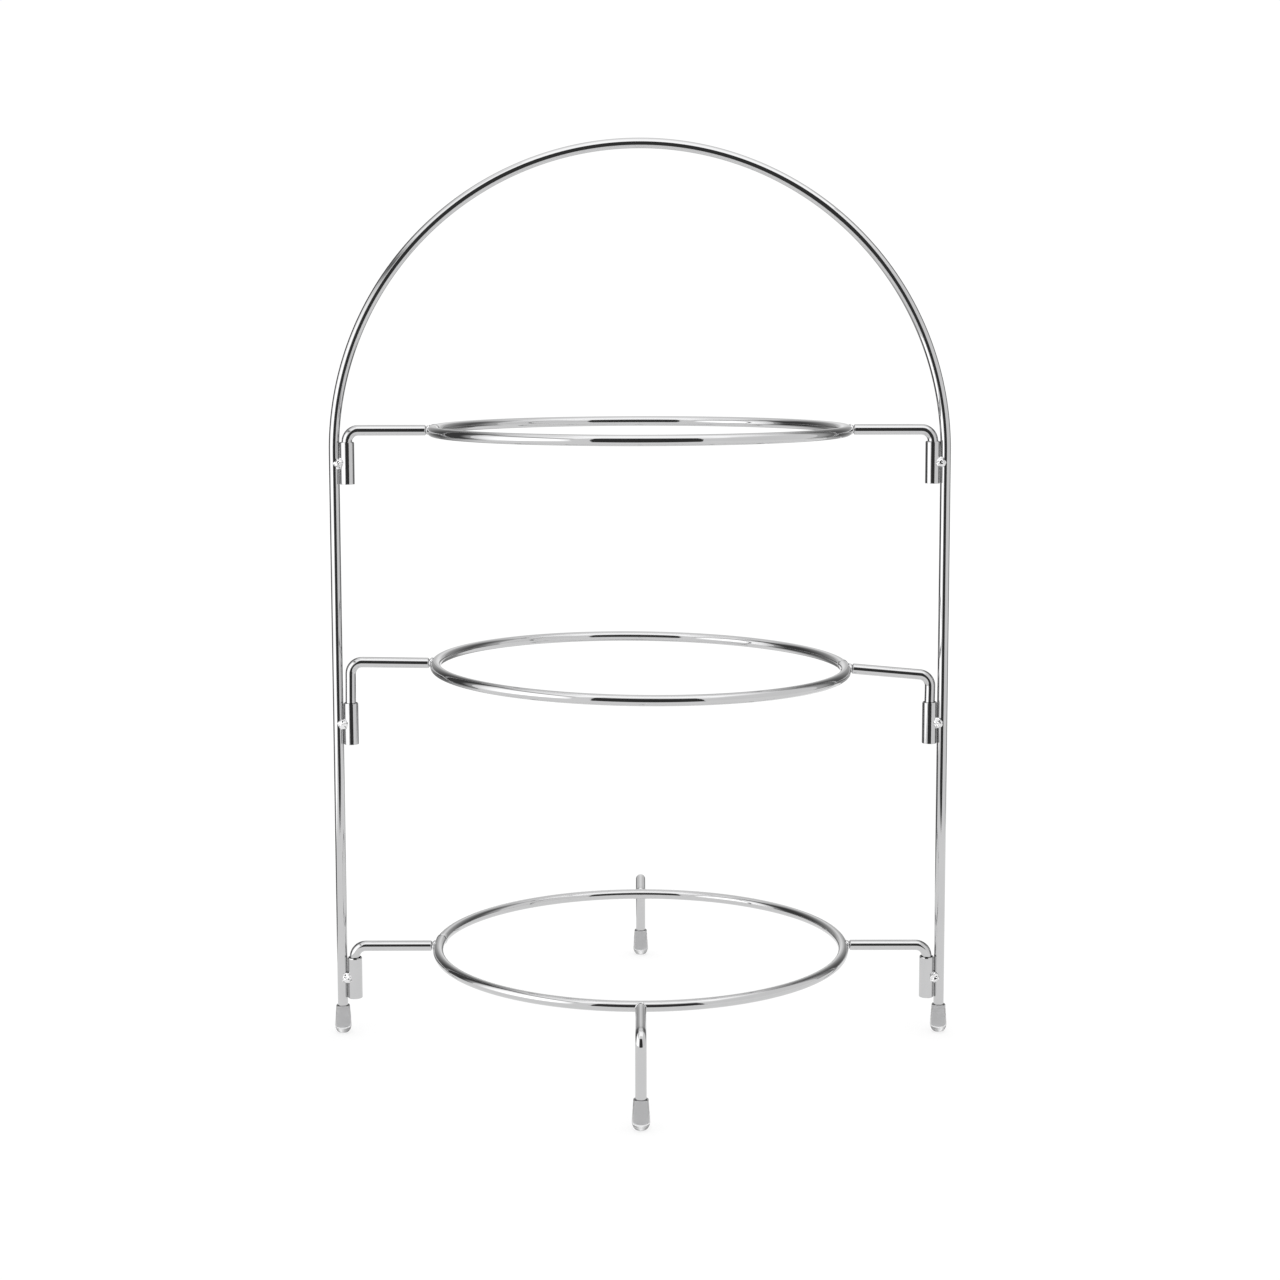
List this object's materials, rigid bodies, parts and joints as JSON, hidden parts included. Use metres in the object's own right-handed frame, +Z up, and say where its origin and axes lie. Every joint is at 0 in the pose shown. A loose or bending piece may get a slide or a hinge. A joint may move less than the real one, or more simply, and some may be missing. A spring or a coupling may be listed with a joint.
{
  "type": "tiered cake stand",
  "caption": "Bent-wire arch with a carrying handle and plate rings at several heights, each ring lifting out of tube sockets; soft caps on its feet.",
  "frame": {"origin": "on the table, in the middle of the four feet", "axes": "+Z up, +X towards the right-hand upright, -Y towards the front leg"},
  "size_m": [0.298, 0.278, 0.4299],
  "materials": {
    "chrome_wire": "bright chrome plate on round steel wire",
    "chrome_tube": "bright chrome plate on thin steel tube, sawn ends",
    "weld_metal": "chrome plate over a lumpy weld",
    "clear_cap": "soft translucent grey plastic, satin moulded surface"
  },
  "bodies": {
    "frame": {"arch_frame": "chrome_wire", "socket_bottom_left": "chrome_tube", "socket_bottom_right": "chrome_tube", "socket_middle_left": "chrome_tube", "socket_middle_right": "chrome_tube", "socket_top_left": "chrome_tube", "socket_top_right": "chrome_tube", "socket_welds": "weld_metal", "foot_cap_left": "clear_cap", "foot_cap_right": "clear_cap"},
    "top_tier": {"ring_top": "chrome_wire", "arm_top_left": "chrome_wire", "arm_top_right": "chrome_wire", "welds_top": "weld_metal"},
    "middle_tier": {"ring_middle": "chrome_wire", "arm_middle_left": "chrome_wire", "arm_middle_right": "chrome_wire", "welds_middle": "weld_metal"},
    "bottom_tier": {"ring_bottom": "chrome_wire", "arm_bottom_left": "chrome_wire", "arm_bottom_right": "chrome_wire", "welds_bottom": "weld_metal", "leg_front": "chrome_wire", "leg_back": "chrome_wire", "foot_cap_front": "clear_cap", "foot_cap_back": "clear_cap"}
  },
  "joints": [
    {"name": "top_tier_lift", "type": "slide", "parent": "frame", "child": "top_tier", "axis": [0, 0, 1], "range_m": [0, 0.0095]},
    {"name": "middle_tier_lift", "type": "slide", "parent": "frame", "child": "middle_tier", "axis": [0, 0, 1], "range_m": [-0.0072, 0.0095]},
    {"name": "bottom_tier_lift", "type": "slide", "parent": "frame", "child": "bottom_tier", "axis": [0, 0, 1], "range_m": [0, 0.022]}
  ]
}
